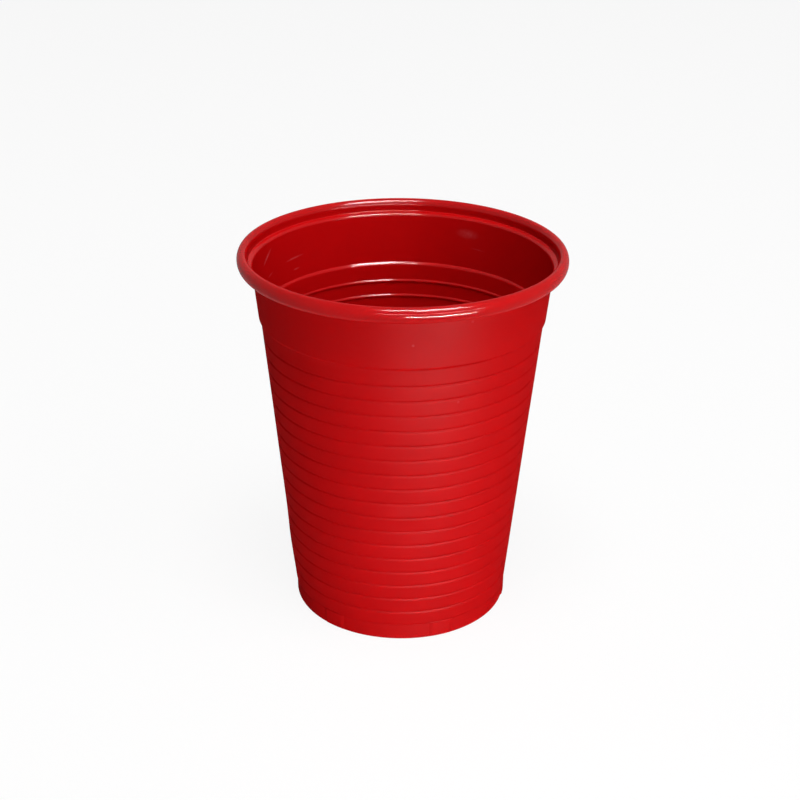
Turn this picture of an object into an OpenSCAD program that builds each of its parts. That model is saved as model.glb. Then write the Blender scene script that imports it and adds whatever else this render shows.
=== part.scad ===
// Disposable rinse cup: one thermoformed plastic sheet of the same thickness all over, with a
// rolled rim, a stacking ledge, a plain band, ring grooves down the body and a foot ring.
// The cup stands on its foot ring, centred on the Z axis. All sizes are in millimetres.

/* [Cup] */
// Height from the surface that the cup stands on to the top of the rim
height = 82.5; // [60:0.5:120]
// Thickness of the sheet
wall = 0.3; // [0.2:0.05:0.5]
// Colour of the plastic
cup_color = "#c3141c"; // ["#c3141c", "#f4f4f2", "#2f7fc4"]

/* [Rim] */
// Outer diameter over the rolled rim
rim_d = 70.3; // [60:0.1:90]
// Width of the rolled rim, from its inner to its outer side
bead_w = 2.25; // [1.8:0.05:3.2]
// Height of the rolled rim
bead_h = 3.3; // [2.6:0.1:5]
// Least gap between the end of the roll and the neck inside it
curl_gap = 0.2; // [0.15:0.05:0.3]

/* [Stacking ledge] */
// Depth from the top of the rim to the ledge
ledge_depth = 2.6; // [2.2:0.1:8]
// Width of the ledge, seen from above
ledge_w = 1.1; // [0.8:0.1:2]
// How far the ledge falls over its width
ledge_fall = 0.3; // [0.1:0.05:0.8]

/* [Plain band] */
// Depth from the top of the rim to the lower end of the plain band
band_depth = 14.4; // [10:0.2:20]
// How far the plain band widens on its way up, on the radius
band_flare = 1.24; // [0.6:0.02:2.4]
// Height of the shoulder that steps in below the plain band
shoulder_h = 0.8; // [0.6:0.1:2.4]
// How far the shoulder steps in, on the radius
shoulder_in = 0.48; // [0.2:0.02:1]

/* [Grooves] */
// Number of ring grooves, evenly spaced between the shoulder and the foot ring
groove_count = 17; // [8:1:22]
// Width of a groove on the outside
groove_w = 0.7; // [0.5:0.05:1.2]
// Depth of a groove
groove_depth = 0.24; // [0.12:0.02:0.3]

/* [Foot] */
// Outer diameter of the foot ring
foot_d = 47.5; // [36:0.1:50]
// Height of the foot ring
foot_h = 3.8; // [2.5:0.1:8]
// How far the body stands out over the foot ring, on the radius and in height
foot_step = 0.28; // [0.24:0.02:1.2]
// Width of the flat ring that the cup stands on
foot_flat = 1.3; // [0.8:0.1:3]
// Height of the base panel's underside above the surface that the cup stands on
panel_h = 1.6; // [1.2:0.1:2.4]

/* [Stacking lugs] */
// Number of small lugs round the foot ring
lug_count = 6; // [3:1:12]
// Angle that one lug takes up, in degrees
lug_angle = 13; // [6:1:20]
// How far a lug stands out from the foot ring
lug_out = 0.25; // [0.1:0.05:0.35]
// Angle of the first lug's middle from the X axis, in degrees
lug_start = 52.5; // [0:0.5:60]

/* [Hidden] */
$fn = 120;       // facets of a full turn in a quick look
groove_fn = 40;  // and of a groove's small round section

// Radii on the inner side of the sheet's bends
foot_bend = 0.2;
panel_bend = 0.4;
hollow_bend = 0.5;
small_bend = 0.15;
bend_step = 15;  // degrees of a bend between two of its points

// Radii and heights of the sheet's outer face
rim_r = rim_d / 2;
neck_r = rim_r - bead_w + wall;
band_top_r = neck_r - ledge_w;
band_top_z = height - ledge_depth - ledge_fall - wall;
band_low_r = band_top_r - band_flare;
band_low_z = height - band_depth;
ribs_top_r = band_low_r - shoulder_in;
ribs_top_z = band_low_z - shoulder_h;
foot_r = foot_d / 2;
ribs_low_r = foot_r + foot_step;
ribs_low_z = foot_h + foot_step;
panel_lean = panel_h / 2;
flat_mid_r = foot_r - foot_bend - wall - foot_flat / 2;
flat_r = flat_mid_r - foot_flat / 2 - panel_bend;

// The roll follows an oval: its middle, its half width and half height on the sheet's outer face,
// and the angle below level at which it ends, where the gap to the neck is still clear
roll_r = rim_r - bead_w / 2;
roll_z = height - bead_h / 2;
roll_half_w = bead_w / 2 - wall;
roll_half_h = bead_h / 2 - wall;
roll_end = acos((curl_gap + wall) / roll_half_w - 1);

// How far the hollow of a lug starts above the foot ring's inner face
hollow_lift = 0.05;

// Spacing and round section of the grooves
groove_pitch = (ribs_top_z - foot_h) / (groove_count + 1);
groove_r = (groove_w * groove_w / 4 + groove_depth * groove_depth) / (2 * groove_depth);

// Corners of the sheet's outer face, each as [radius, height, radius of its bend], from the
// middle of the base up the neck to where the roll starts
body_corners = [
    [0, panel_h, 0],
    [flat_r - panel_lean, panel_h, panel_bend],
    [flat_r, 0, panel_bend],
    [foot_r, 0, foot_bend],
    [foot_r, foot_h, small_bend],
    [ribs_low_r, ribs_low_z, small_bend],
    [ribs_top_r, ribs_top_z, hollow_bend],
    [band_low_r, band_low_z, small_bend],
    [band_top_r, band_top_z, small_bend],
    [neck_r, band_top_z + ledge_fall, small_bend],
    [neck_r, roll_z, 0]
];

function point(corner) = [corner[0], corner[1]];
function unit(v) = v / norm(v);
function left_of(v) = [-v[1], v[0]];
function turned(v, a) = [v[0] * cos(a) - v[1] * sin(a), v[0] * sin(a) + v[1] * cos(a)];

// Angle by which the way turns at a corner, from one direction to the next: left is positive
function turn_at(u, v) = atan2(u[0] * v[1] - u[1] * v[0], u * v);

// Points of one bend: p is its corner, u and v the directions before and after it, and r its
// radius on the face that the points are on
function bend_points(p, u, v, r) =
    let (a = turn_at(u, v), side = sign(a), steps = ceil(abs(a) / bend_step))
    let (start = p - u * r * tan(abs(a) / 2), centre = start + side * r * left_of(u))
    [for (k = [0:steps]) centre - side * r * left_of(turned(u, a * k / steps))];

// The sheet's face that lies a distance depth inside its outer face, with its bends
function face(corners, depth) =
    let (last = len(corners) - 1)
    let (ways = [for (i = [0:last - 1]) unit(point(corners[i + 1]) - point(corners[i]))])
    [for (i = [0:last])
        let (u = ways[max(i - 1, 0)], v = ways[min(i, last - 1)])
        let (shift = (left_of(u) + left_of(v)) / (1 + left_of(u) * left_of(v)))
        let (p = point(corners[i]) + depth * shift, a = turn_at(u, v))
        each (i == 0 || i == last) ? [p]
            : bend_points(p, u, v, corners[i][2] + (a > 0 ? wall - depth : depth))
    ];

// The roll's face that lies a distance depth inside the sheet's outer face, from the neck over
// the top of the rim and down outside it to the end of the roll
function roll(depth) =
    [for (a = concat([for (t = [180:-bend_step:-roll_end]) t], [-roll_end]))
        let (way = unit([cos(a) / roll_half_w, sin(a) / roll_half_h]))
        [roll_r + roll_half_w * cos(a), roll_z + roll_half_h * sin(a)] + depth * way
    ];

function reversed(points) = [for (i = [len(points) - 1:-1:0]) points[i]];

// Points that lie on each other, where one bend ends and the next begins, are taken once
function tidy(points) =
    [for (i = [0:len(points) - 1]) if (i == 0 || norm(points[i] - points[i - 1]) > 0.001) points[i]];

function ribs_r(z) =
    ribs_low_r + (ribs_top_r - ribs_low_r) * (z - ribs_low_z) / (ribs_top_z - ribs_low_z);

// Round section of each groove, larger by extra
module groove_rings(extra) {
    for (i = [1:groove_count]) {
        z = ribs_top_z - i * groove_pitch;
        translate([ribs_r(z) + groove_r - groove_depth, z]) circle(r = groove_r + extra, $fn = groove_fn);
    }
}

// Half section of the whole sheet, with each groove pressed through it
module sheet_section() {
    outer = concat(face(body_corners, 0), roll(0));
    inner = concat(face(body_corners, wall), roll(wall));
    core = concat(face(body_corners, 0), [[0, roll_z]]);
    difference() {
        union() {
            polygon(tidy(concat(outer, reversed(inner))));
            intersection() {
                groove_rings(wall);
                polygon(core);
            }
        }
        groove_rings(0);
    }
}

// Corners of the foot ring's outer face, from the middle of its flat up to the height top, with
// the ring's side moved out by out
function foot_corners(out, top) = [
    [flat_mid_r, 0, 0],
    [foot_r + out, 0, foot_bend],
    [foot_r + out, top, 0]
];

// One wedge round the Z axis from a section, centred on the X axis
module wedge(angle) {
    rotate([0, 0, -angle / 2]) rotate_extrude(angle = angle) children();
}

// Outside of a lug, from the middle of the foot ring's sheet to the lug's outer face
module lug_outside() {
    outer = face(foot_corners(lug_out, ribs_low_z), 0);
    inner = face(foot_corners(0, ribs_low_z), wall / 2);
    wedge(lug_angle) polygon(concat(outer, reversed(inner)));
}

// Hollow of a lug, open to the inside of the cup from the foot ring's floor to above the step
module lug_hollow() {
    side_walls = 2 * asin(wall / foot_r);
    top = ribs_low_z + wall;
    wedge(lug_angle - side_walls) translate([0, hollow_lift])
        polygon(concat(face(foot_corners(lug_out, top), wall), [[flat_mid_r, top]]));
}

module round_foot() {
    for (i = [0:lug_count - 1]) rotate([0, 0, lug_start + i * 360 / lug_count]) children();
}

module cup() {
    color(cup_color) difference() {
        union() {
            rotate_extrude() sheet_section();
            round_foot() lug_outside();
        }
        round_foot() lug_hollow();
    }
}

cup();
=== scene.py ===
import math

import bmesh
import bpy
from mathutils import Matrix, Vector, noise


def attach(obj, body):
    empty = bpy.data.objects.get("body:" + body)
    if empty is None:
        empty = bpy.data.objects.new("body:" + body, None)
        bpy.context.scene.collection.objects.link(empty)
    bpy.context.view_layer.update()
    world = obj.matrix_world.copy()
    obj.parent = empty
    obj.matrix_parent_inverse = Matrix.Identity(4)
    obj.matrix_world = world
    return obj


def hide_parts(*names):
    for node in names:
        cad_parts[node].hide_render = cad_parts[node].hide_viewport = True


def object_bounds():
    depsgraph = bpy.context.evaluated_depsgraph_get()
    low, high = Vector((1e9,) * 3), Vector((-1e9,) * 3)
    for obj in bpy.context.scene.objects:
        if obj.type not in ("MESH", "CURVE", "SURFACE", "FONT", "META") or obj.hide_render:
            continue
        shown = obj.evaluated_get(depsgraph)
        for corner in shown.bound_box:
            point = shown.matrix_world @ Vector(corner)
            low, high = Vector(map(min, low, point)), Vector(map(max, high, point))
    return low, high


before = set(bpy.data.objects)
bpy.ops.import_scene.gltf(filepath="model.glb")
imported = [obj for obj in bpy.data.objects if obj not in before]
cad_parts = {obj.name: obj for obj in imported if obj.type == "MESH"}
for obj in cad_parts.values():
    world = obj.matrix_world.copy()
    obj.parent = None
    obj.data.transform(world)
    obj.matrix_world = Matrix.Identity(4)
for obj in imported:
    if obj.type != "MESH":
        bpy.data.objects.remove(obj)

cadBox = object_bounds()

# sizes below are in millimetres and degrees, and mm turns them into metres
mm = 0.001
tiny = 1e-7  # metres: points closer than this are one

# a bend is its radius on the hollow side of the sheet, and the parts that it is made of
cupSizes = {
    "height": (cadBox[1][2] - cadBox[0][2]) / mm,
    "rimWide": (cadBox[1][0] - cadBox[0][0]) / mm,
    "sheet": 0.3,
    "turns": 160,            # faces round the cup
    "beadWide": 2.25,        # the rolled rim
    "beadHigh": 3.3,
    "beadRoll": 295,
    "beadSteps": 24,
    "neckBend": (0.15, 4),
    "ledgeDeep": 2.6,        # stacking ledge inside the mouth
    "ledgeWide": 1.1,
    "ledgeFall": 0.3,
    "ledgeBend": (0.45, 6),
    "bandDeep": 14.4,        # plain band, and the rings of the mesh between its ends
    "bandFlare": 1.24,
    "bandBend": (0.15, 4),
    "bandRings": 2,
    "shoulderHigh": 0.8,     # shoulder under the band, and the height of its steep part
    "shoulderIn": 0.48,
    "shoulderStep": 0.45,
    "shoulderBend": (0.6, 6),
    "grooves": 17,           # ring grooves, and the rings of the mesh between two of them
    "grooveWide": 0.7,
    "grooveDeep": 0.24,
    "lipBend": (0.15, 2),
    "rootBend": (0.1, 3),
    "plainRings": 2,
    "footWide": 47.5,        # foot ring, and how far the body stands out over it
    "footHigh": 3.8,
    "footStep": 0.28,
    "footFlat": 1.3,
    "footBend": (0.2, 5),
    "stepBend": (0.15, 4),
    "panelHigh": 1.6,        # base panel inside the foot ring
    "panelBend": (0.4, 5),
}


def sheetCorners(s):
    # corners of the sheet's outer face from the middle of the base up to the neck: radius,
    # height, and bend, or None where there is only a ring of the mesh
    neck = s["rimWide"] / 2 - s["beadWide"] + s["sheet"]
    bandTop = neck - s["ledgeWide"]
    bandTopZ = s["height"] - s["ledgeDeep"] - s["ledgeFall"] - s["sheet"]
    bandLow = bandTop - s["bandFlare"]
    bandLowZ = s["height"] - s["bandDeep"]
    ribsTop = bandLow - s["shoulderIn"]
    ribsTopZ = bandLowZ - s["shoulderHigh"]
    foot = s["footWide"] / 2
    ribsLow = foot + s["footStep"]
    ribsLowZ = s["footHigh"] + s["footStep"]
    flat = foot - s["footBend"][0] - s["sheet"] - s["footFlat"] - s["panelBend"][0]
    panelLean = s["panelHigh"] / 2
    corners = [
        (0, s["panelHigh"], None),
        (flat - panelLean, s["panelHigh"], s["panelBend"]),
        (flat, 0, s["panelBend"]),
        (foot, 0, s["footBend"]),
        (foot, s["footHigh"], s["stepBend"]),
        (ribsLow, ribsLowZ, s["stepBend"]),
    ]
    pitch = (ribsTopZ - s["footHigh"]) / (s["grooves"] + 1)
    taper = (ribsTop - ribsLow) / (ribsTopZ - ribsLowZ)
    half = s["grooveWide"] / 2
    plain = (pitch - s["grooveWide"]) / (s["plainRings"] + 1)
    for i in range(s["grooves"], 0, -1):
        z = ribsTopZ - i * pitch
        r = ribsLow + taper * (z - ribsLowZ)
        for k in range(s["plainRings"], 0, -1):
            below = half + k * plain
            corners.append((r - taper * below, z - below, None))
        corners.append((r - taper * half, z - half, s["lipBend"]))
        corners.append((r - s["grooveDeep"], z, s["rootBend"]))
        corners.append((r + taper * half, z + half, s["lipBend"]))
    stepZ = bandLowZ - s["shoulderStep"]
    corners.append((ribsTop + taper * (stepZ - ribsTopZ), stepZ, s["shoulderBend"]))
    corners.append((bandLow, bandLowZ, s["bandBend"]))
    for k in range(1, s["bandRings"] + 1):
        share = k / (s["bandRings"] + 1)
        corners.append((bandLow + share * s["bandFlare"], bandLowZ + share * (bandTopZ - bandLowZ), None))
    corners.append((bandTop, bandTopZ, s["ledgeBend"]))
    corners.append((neck, bandTopZ + s["ledgeFall"], s["neckBend"]))
    corners.append((neck, s["height"] - s["beadHigh"] / 2, None))
    return corners


def rollRim(bm, s, last):
    # the roll is an arc over the neck and down outside it, drawn out to the bead's height
    half = s["beadWide"] / 2 - s["sheet"]
    tall = s["beadHigh"] / 2 - s["sheet"]
    middle = Vector((s["rimWide"] / 2 - s["beadWide"] / 2, 0, s["height"] - s["beadHigh"] / 2)) * mm
    bmesh.ops.spin(bm, geom=[last], cent=middle, axis=(0, 1, 0), dvec=(0, 0, 0),
                   angle=math.radians(s["beadRoll"]), steps=s["beadSteps"])
    reach = half * mm + 10 * tiny
    arc = [v for v in bm.verts if (v.co - middle).length < reach and v != last]
    bmesh.ops.scale(bm, vec=(1, 1, tall / half), space=Matrix.Translation(-middle), verts=arc)


def roundCorner(bm, vert, before, after, bend, sheet):
    # on this face of the sheet, a bend that is hollow on the other side is wider by the sheet
    radius, parts = bend
    inWay = (vert.co - before).xz
    outWay = (after - vert.co).xz
    turn = outWay.angle_signed(inWay)
    if turn > 0:
        radius += sheet
    reach = radius * mm * math.tan(abs(turn) / 2)
    bmesh.ops.bevel(bm, geom=[vert], offset=reach, offset_type="OFFSET", segments=parts,
                    profile=0.5, affect="VERTICES", material=-1)


lugs = {
    "count": 6,
    "first": 22.5,           # turn of the first lug's middle from the front, to the right
    "wide": 13,              # turn that a lug takes up, and that each of its flanks does
    "flank": 1.3,
    "out": 0.25,
    "start": 0.08,           # height where a lug starts, and over which it comes out in full
    "slope": 0.5,
    "cutFrom": 0.9,          # shares of the foot's radius past which faces are cut, points moved
    "moveFrom": 0.97,
    "spareHigh": 0.02,       # margins in height and turn that take the edges in
    "spareTurn": 0.05,
}


def raiseLugs(bm, s, g):
    # each lug is cut free with four upright planes, and its middle is moved out
    foot = s["footWide"] / 2 * mm
    top = (s["footHigh"] + g["spareHigh"]) * mm
    low = g["start"] * mm
    for i in range(g["count"]):
        centre = g["first"] - 90 + i * 360 / g["count"]
        for side in (-1, 1):
            for edge in (g["wide"] / 2, g["wide"] / 2 - g["flank"]):
                turn = math.radians(centre + side * edge)
                cut = Vector((-math.sin(turn), math.cos(turn), 0))
                outWay = Vector((math.cos(turn), math.sin(turn), 0))
                near = [f for f in bm.faces
                        if f.calc_center_median().dot(outWay) > foot * g["cutFrom"]
                        and f.calc_center_median().z < top]
                edges = list(dict.fromkeys(e for f in near for e in f.edges))
                verts = list(dict.fromkeys(v for f in near for v in f.verts))
                bmesh.ops.bisect_plane(bm, geom=near + edges + verts, plane_co=(0, 0, 0), plane_no=cut,
                                       dist=tiny)
        mid = math.radians(centre)
        reach = math.radians(g["wide"] / 2 - g["flank"] + g["spareTurn"])
        for v in bm.verts:
            radius = v.co.xy.length
            if radius < foot * g["moveFrom"] or not low < v.co.z < top:
                continue
            away = (math.atan2(v.co.y, v.co.x) - mid + math.pi) % (2 * math.pi) - math.pi
            if abs(away) < reach:
                rise = min(1, (v.co.z - low) / (g["slope"] * mm))
                v.co.xy *= 1 + g["out"] * mm * rise / radius


# turns are from the front to the right, and out is how far the wall stands out
dents = {
    "clear": 1,              # undented height over the foot ring and under the plain band
    "edge": 3,               # height over which the dents fade out there
    "crease": {              # slanting: highest at its turn, and down by its fall at its reach
        "turn": 2, "top": 32.8, "reach": 58, "fall": 17, "wide": 1.3, "out": 0.2,
        "from": -57, "fadeIn": 12, "to": 13, "fadeOut": 8,
    },
    "bulges": [
        {"turn": 8, "z": 28, "wide": 7, "tall": 1.2, "out": -0.08},
        {"turn": -85, "z": 14, "wide": 18, "tall": 6, "out": 0.2},
        {"turn": 60, "z": 40, "wide": 22, "tall": 9, "out": -0.12},
        {"turn": 165, "z": 30, "wide": 25, "tall": 8, "out": -0.15},
    ],
    "wave": {"size": 14, "out": 0.03},
}


def limited(share):
    return min(1, max(0, share))


def dentSheet(bm, s, d):
    # presses the grooved wall in and out: a slanting crease, soft bulges and a slight wave
    low = s["footHigh"] + d["clear"]
    high = s["height"] - s["bandDeep"] - d["clear"]
    c = d["crease"]
    for v in bm.verts:
        z = v.co.z / mm
        if not low < z < high:
            continue
        turn = math.degrees(math.atan2(v.co.x, -v.co.y))
        ends = limited((turn - c["from"]) / c["fadeIn"]) * limited((c["to"] - turn) / c["fadeOut"])
        line = c["top"] - c["fall"] * ((turn - c["turn"]) / c["reach"]) ** 2
        out = c["out"] * ends * math.exp(-((z - line) / c["wide"]) ** 2)
        for b in d["bulges"]:
            away = (turn - b["turn"] + 180) % 360 - 180
            out += b["out"] * math.exp(-(away / b["wide"]) ** 2 - ((z - b["z"]) / b["tall"]) ** 2)
        out += d["wave"]["out"] * noise.noise(v.co / (d["wave"]["size"] * mm))
        fade = min(1, (z - low) / d["edge"], (high - z) / d["edge"])
        v.co.xy *= 1 + out * fade * mm / v.co.xy.length


def makeCup(s, g, d):
    bm = bmesh.new()
    corners = sheetCorners(s)
    wire = [bm.verts.new((r * mm, 0, z * mm)) for r, z, bend in corners]
    for a, b in zip(wire, wire[1:]):
        bm.edges.new((a, b))
    rollRim(bm, s, wire[-1])
    places = [v.co.copy() for v in wire]
    for i, (r, z, bend) in enumerate(corners):
        if bend:
            roundCorner(bm, wire[i], places[i - 1], places[i + 1], bend, s["sheet"])
    bmesh.ops.spin(bm, geom=bm.verts[:] + bm.edges[:], cent=(0, 0, 0), axis=(0, 0, 1), dvec=(0, 0, 0),
                   angle=2 * math.pi, steps=s["turns"], use_merge=True)
    bmesh.ops.remove_doubles(bm, verts=bm.verts, dist=tiny)
    bmesh.ops.recalc_face_normals(bm, faces=bm.faces)
    raiseLugs(bm, s, g)
    dentSheet(bm, s, d)
    # the shell is open at the mouth, so its faces may all have been turned inwards
    if sum(f.normal.dot(f.calc_center_median()) * f.calc_area() for f in bm.faces) < 0:
        bmesh.ops.reverse_faces(bm, faces=bm.faces)
    mesh = bpy.data.meshes.new("cupShell")
    bm.to_mesh(mesh)
    bm.free()
    mesh.polygons.foreach_set("use_smooth", [True] * len(mesh.polygons))
    piece = bpy.data.objects.new("cupShell", mesh)
    bpy.context.scene.collection.objects.link(piece)
    wall = piece.modifiers.new("sheet", "SOLIDIFY")
    wall.thickness = s["sheet"] * mm
    wall.offset = -1
    wall.use_even_offset = True
    wall.material_offset = 1      # the inner face and the sheet's edge take the second finish
    wall.material_offset_rim = 1
    shade = piece.modifiers.new("shade", "WEIGHTED_NORMAL")
    shade.keep_sharp = False
    return piece


plastic = {
    "colour": (0.56, 0.003, 0.004, 1),
    "dark": (0.5, 0.002, 0.003, 1),      # colour of the faint clouds
    "pale": (0.6, 0.07, 0.08, 1),        # and of scuffs, where the skin of the sheet is rubbed
    "rough": 0.5,            # roughness of the plastic under its shine
    "satin": 0.045,          # strength and roughness of the shine outside, where the mould was
    "satinRough": 0.5,
    "gloss": 0.22,           # and of the shine inside and on the rim
    "glossRough": 0.1,
    "shineLeast": 0.75,      # shares of its strength: the least, and what varies on top of it
    "shineMore": 0.5,
    "cloud": 90,             # about how many clouds, waves, rubs and grains go into a metre
    "wave": 240,
    "rub": 1600,
    "grain": 3200,
    "cloudDetail": 4,        # finer layers in the clouds, and in the others
    "detail": 3,
    "waveHigh": 0.000012,    # heights of the waves and the grain, in metres
    "grainHigh": 0.000003,
    "rubShow": 1.6,          # how strongly a scuff shows in its rubs
    "scuffLong": 0.6,        # half length of a scuff's oval, as a share of its stroke
    "unrolled": 31.5,        # radius at which the wall is unrolled for the scuffs
}

# rubbed places: turn from the front to the right and height, from one end to the other, with
# the width across the stroke and how strongly it shows
scuffs = {
    "gloss": [
        {"from": (-105, 75.2), "to": (-113.5, 77.6), "wide": 0.9, "show": 0.9},
        {"from": (-107.5, 71.9), "to": (-112.5, 72.4), "wide": 0.6, "show": 0.5},
        {"from": (-123, 72.9), "to": (-133.5, 73.2), "wide": 0.6, "show": 0.8},
        {"from": (-126.8, 70.4), "to": (-131, 70.5), "wide": 0.6, "show": 0.6},
        {"from": (147, 76.1), "to": (157, 76.1), "wide": 2.6, "show": 0.5},
        {"from": (150.2, 73), "to": (143, 72.8), "wide": 0.5, "show": 0.4},
        {"from": (36, 70), "to": (48, 71), "wide": 0.8, "show": 0.4},
        {"from": (-20, 30), "to": (-32, 31), "wide": 0.8, "show": 0.4},
    ],
    "satin": [
        {"from": (3.4, 73.4), "to": (4.6, 73.4), "wide": 0.8, "show": 0.6},
        {"from": (22.2, 59.4), "to": (23.4, 59.4), "wide": 0.8, "show": 0.5},
        {"from": (25.2, 77.5), "to": (26.4, 77.6), "wide": 0.8, "show": 0.5},
        {"from": (128, 52), "to": (140, 54), "wide": 0.8, "show": 0.4},
        {"from": (-150, 36), "to": (-140, 35), "wide": 0.8, "show": 0.4},
    ],
}


def feed(tree, socket, value):
    # gives a socket a value of its own, or a link from another node
    if isinstance(value, (int, float, tuple)):
        socket.default_value = value
    else:
        tree.links.new(value, socket)


def calculate(tree, kind, *values):
    node = tree.nodes.new("ShaderNodeMath")
    node.operation = kind
    for socket, value in zip(node.inputs, values):
        feed(tree, socket, value)
    return node.outputs[0]


def mixColours(tree, share, first, second):
    mix = tree.nodes.new("ShaderNodeMix")
    mix.data_type = "RGBA"
    feed(tree, mix.inputs["Factor"], share)
    feed(tree, mix.inputs["A"], first)
    feed(tree, mix.inputs["B"], second)
    return mix.outputs["Result"]


def mixShaders(tree, share, first, second):
    mix = tree.nodes.new("ShaderNodeMixShader")
    for socket, value in zip(mix.inputs, (share, first, second)):
        feed(tree, socket, value)
    return mix.outputs[0]


def noiseOf(tree, place, scale, detail):
    pattern = tree.nodes.new("ShaderNodeTexNoise")
    pattern.inputs["Scale"].default_value = scale
    pattern.inputs["Detail"].default_value = detail
    tree.links.new(place, pattern.inputs["Vector"])
    return pattern.outputs["Fac"]


def scuffMask(tree, place, p, marks):
    # the wall is unrolled, and each mark is an oval on it that fades towards its edge
    split = tree.nodes.new("ShaderNodeSeparateXYZ")
    tree.links.new(place, split.inputs[0])
    front = calculate(tree, "MULTIPLY", split.outputs["Y"], -1)
    turn = calculate(tree, "ARCTAN2", split.outputs["X"], front)
    flat = tree.nodes.new("ShaderNodeCombineXYZ")
    tree.links.new(calculate(tree, "MULTIPLY", turn, p["unrolled"] * mm), flat.inputs["X"])
    tree.links.new(split.outputs["Z"], flat.inputs["Y"])
    total = 0
    for m in marks:
        start, end = [Vector((math.radians(t) * p["unrolled"], z)) * mm for t, z in (m["from"], m["to"])]
        stroke = end - start
        lay = tree.nodes.new("ShaderNodeMapping")
        lay.vector_type = "TEXTURE"
        lay.inputs["Location"].default_value = ((start + end) / 2).to_3d()
        lay.inputs["Rotation"].default_value = (0, 0, math.atan2(stroke.y, stroke.x))
        lay.inputs["Scale"].default_value = (stroke.length * p["scuffLong"], m["wide"] / 2 * mm, 1)
        tree.links.new(flat.outputs[0], lay.inputs["Vector"])
        oval = tree.nodes.new("ShaderNodeTexGradient")
        oval.gradient_type = "SPHERICAL"
        tree.links.new(lay.outputs[0], oval.inputs["Vector"])
        total = calculate(tree, "ADD", total, calculate(tree, "MULTIPLY", oval.outputs["Fac"], m["show"]))
    return total


def makePlastic(finish, p, marks):
    # the shine is a coat, so that its strength is the same share at every angle
    mat = bpy.data.materials.new(finish + "Red")
    mat.use_nodes = True
    tree = mat.node_tree
    shader = tree.nodes["Principled BSDF"]
    shader.inputs["Roughness"].default_value = p["rough"]
    shader.inputs["Specular IOR Level"].default_value = 0
    shader.inputs["Coat Roughness"].default_value = p[finish + "Rough"]
    place = tree.nodes.new("ShaderNodeTexCoord").outputs["Object"]

    clouds = noiseOf(tree, place, p["cloud"], p["cloudDetail"])
    plain = mixColours(tree, clouds, p["colour"], p["dark"])
    rubs = calculate(tree, "MULTIPLY", noiseOf(tree, place, p["rub"], p["detail"]), p["rubShow"])
    scuffed = calculate(tree, "MULTIPLY", scuffMask(tree, place, p, marks), rubs)
    tree.links.new(mixColours(tree, scuffed, plain, p["pale"]), shader.inputs["Base Color"])

    # the shine varies a little from place to place
    waves = noiseOf(tree, place, p["wave"], p["detail"])
    shine = calculate(tree, "MULTIPLY_ADD", waves, p[finish] * p["shineMore"], p[finish] * p["shineLeast"])
    tree.links.new(shine, shader.inputs["Coat Weight"])

    bumps = None
    for kind in ("wave", "grain"):
        bump = tree.nodes.new("ShaderNodeBump")
        bump.inputs["Strength"].default_value = 1
        bump.inputs["Distance"].default_value = p[kind + "High"]
        tree.links.new(noiseOf(tree, place, p[kind], p["detail"]), bump.inputs["Height"])
        if bumps:
            tree.links.new(bumps, bump.inputs["Normal"])
        bumps = bump.outputs["Normal"]
    tree.links.new(bumps, shader.inputs["Normal"])
    tree.links.new(bumps, shader.inputs["Coat Normal"])
    return mat


# the camera stands where the photograph's did, worked out from the cup's rim, foot and sides
view = {
    "lens": 72,
    "sensor": 36,
    "near": 10,              # nothing closer to the camera than this shows
    "place": (0, -320.2272, 196.7432),
    "pitch": 25.0639,
    "yaw": 0.0564,
    "roll": 0.4989,
}


def makeCamera(v):
    camera = bpy.data.cameras.new("camera")
    camera.lens = v["lens"]
    camera.sensor_width = v["sensor"]
    camera.clip_start = v["near"] * mm
    holder = bpy.data.objects.new("camera", camera)
    tilt = Matrix.Rotation(math.radians(90 - v["pitch"]), 3, "X")
    yaw = Matrix.Rotation(math.radians(v["yaw"]), 3, "Y")
    roll = Matrix.Rotation(math.radians(v["roll"]), 3, "Z")
    holder.rotation_euler = (tilt @ yaw @ roll).to_euler()
    holder.location = Vector(v["place"]) * mm
    bpy.context.scene.collection.objects.link(holder)
    bpy.context.scene.camera = holder


# turn from the front to the right and rise over level, with distance and size in metres and
# power in watts; the soft lamps only light the colour, and the lines only show in the shine
softLamps = {
    "overhead": {"turn": 0, "rise": 75, "far": 0.9, "wide": 0.4, "tall": 0.4, "power": 5.5},
    "sideHigh": {"turn": 68, "rise": 52, "far": 0.9, "wide": 0.4, "tall": 0.4, "power": 1.6},
    "sideLow": {"turn": 50, "rise": 15, "far": 0.9, "wide": 0.4, "tall": 0.4, "power": 1.4},
    "front": {"turn": 25, "rise": 17, "far": 0.9, "wide": 0.4, "tall": 0.3, "power": 1.2},
    "frontLow": {"turn": 12, "rise": -14, "far": 0.15, "wide": 0.1, "tall": 0.012, "power": 0.05},
}
lineLamps = {
    "card": {"turn": 25, "rise": -9, "far": 0.25, "wide": 0.2, "tall": 0.012, "power": 3},
    "highLine": {"turn": 20, "rise": 62, "far": 1.2, "wide": 0.84, "tall": 0.16, "power": 60},
    "sideLine": {"turn": 33, "rise": 48, "far": 1.2, "wide": 0.62, "tall": 0.14, "power": 30},
    "rimLine": {"turn": 20, "rise": 11, "far": 1.2, "wide": 1.7, "tall": 0.06, "power": 14},
}
aimHigh = 45  # height on the cup's axis that every lamp points at


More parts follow.
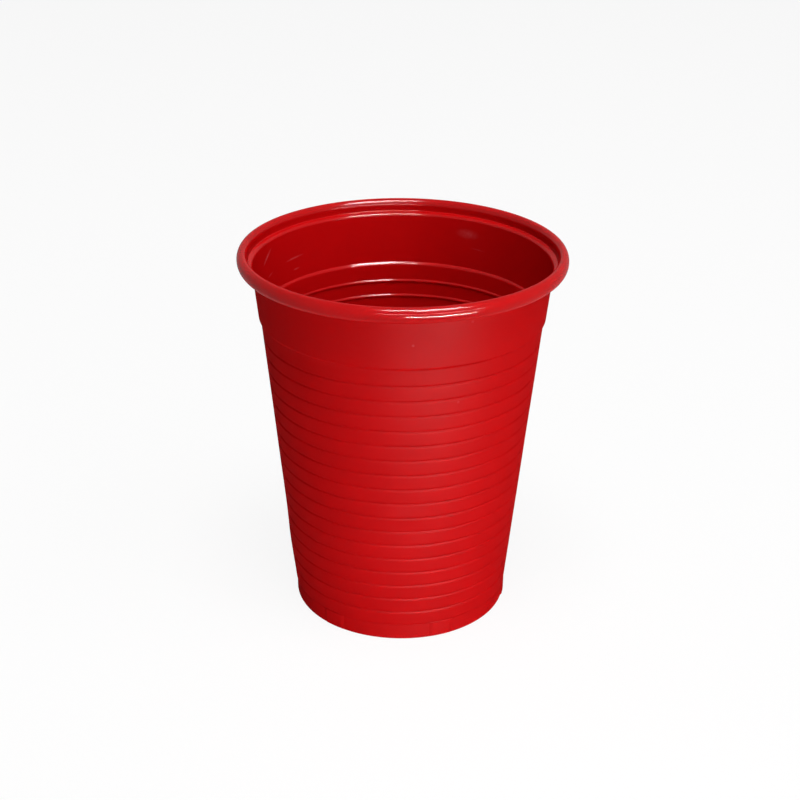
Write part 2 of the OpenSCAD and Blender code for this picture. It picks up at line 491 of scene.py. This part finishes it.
def makeLamp(name, lamp, line):
    light = bpy.data.lights.new(name, "AREA")
    light.shape = "RECTANGLE"
    light.size = lamp["wide"]
    light.size_y = lamp["tall"]
    light.energy = lamp["power"]
    holder = bpy.data.objects.new(name, light)
    turn = math.radians(lamp["turn"])
    rise = math.radians(lamp["rise"])
    way = Vector((math.sin(turn) * math.cos(rise), -math.cos(turn) * math.cos(rise), math.sin(rise)))
    holder.location = Vector((0, 0, aimHigh * mm)) + way * lamp["far"]
    holder.rotation_euler = way.to_track_quat("Z", "Y").to_euler()
    holder.visible_diffuse = not line
    holder.visible_glossy = line
    holder.visible_camera = False
    bpy.context.scene.collection.objects.link(holder)


studio = {
    "floorHalf": 6,          # half the floor's width, in metres
    "floorWhite": 0.9,       # share of the floor's look that is even white
    "floorLit": 1.0,         # colour of the rest, which takes the cup's shadow
    "floorBounce": 0.75,     # colour with which the floor lights the cup
    "skyBounce": 0.04,       # and strength with which the backdrop does
}


def seenDirectly(tree):
    # 1 where the camera or a gloss sees the surface, 0 where it only lights the cup
    path = tree.nodes.new("ShaderNodeLightPath")
    total = path.outputs["Is Camera Ray"]
    for kind in ("Is Glossy Ray", "Is Transmission Ray"):
        total = calculate(tree, "MAXIMUM", total, path.outputs[kind])
    return total


def matt(tree, level):
    paint = tree.nodes.new("ShaderNodeBsdfDiffuse")
    paint.inputs["Color"].default_value = (level, level, level, 1)
    return paint.outputs[0]


def makeFloor(st):
    bm = bmesh.new()
    bmesh.ops.create_grid(bm, x_segments=1, y_segments=1, size=st["floorHalf"])
    mesh = bpy.data.meshes.new("floor")
    bm.to_mesh(mesh)
    bm.free()
    floor = bpy.data.objects.new("floor", mesh)
    bpy.context.scene.collection.objects.link(floor)
    mat = bpy.data.materials.new("paleFloor")
    mat.use_nodes = True
    tree = mat.node_tree
    tree.nodes.remove(tree.nodes["Principled BSDF"])
    white = tree.nodes.new("ShaderNodeEmission").outputs[0]
    look = mixShaders(tree, st["floorWhite"], matt(tree, st["floorLit"]), white)
    both = mixShaders(tree, seenDirectly(tree), matt(tree, st["floorBounce"]), look)
    tree.links.new(both, tree.nodes["Material Output"].inputs["Surface"])
    mesh.materials.append(mat)


def makeWorld(st):
    world = bpy.data.worlds.new("studio")
    world.use_nodes = True
    bpy.context.scene.world = world
    tree = world.node_tree
    back = tree.nodes["Background"]
    back.inputs["Color"].default_value = (1, 1, 1, 1)
    level = tree.nodes.new("ShaderNodeMapRange")
    level.inputs["To Min"].default_value = st["skyBounce"]
    level.inputs["To Max"].default_value = 1
    tree.links.new(seenDirectly(tree), level.inputs["Value"])
    tree.links.new(level.outputs["Result"], back.inputs["Strength"])


cup = makeCup(cupSizes, lugs, dents)
for finish in ("satin", "gloss"):
    cup.data.materials.append(makePlastic(finish, plastic, scuffs[finish]))
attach(cup, "root")
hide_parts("cup")
print("cup made")

makeCamera(view)
for name in softLamps:
    makeLamp(name, softLamps[name], False)
for name in lineLamps:
    makeLamp(name, lineLamps[name], True)
makeFloor(studio)
makeWorld(studio)
bpy.context.scene.view_settings.view_transform = "Standard"
print("studio made")
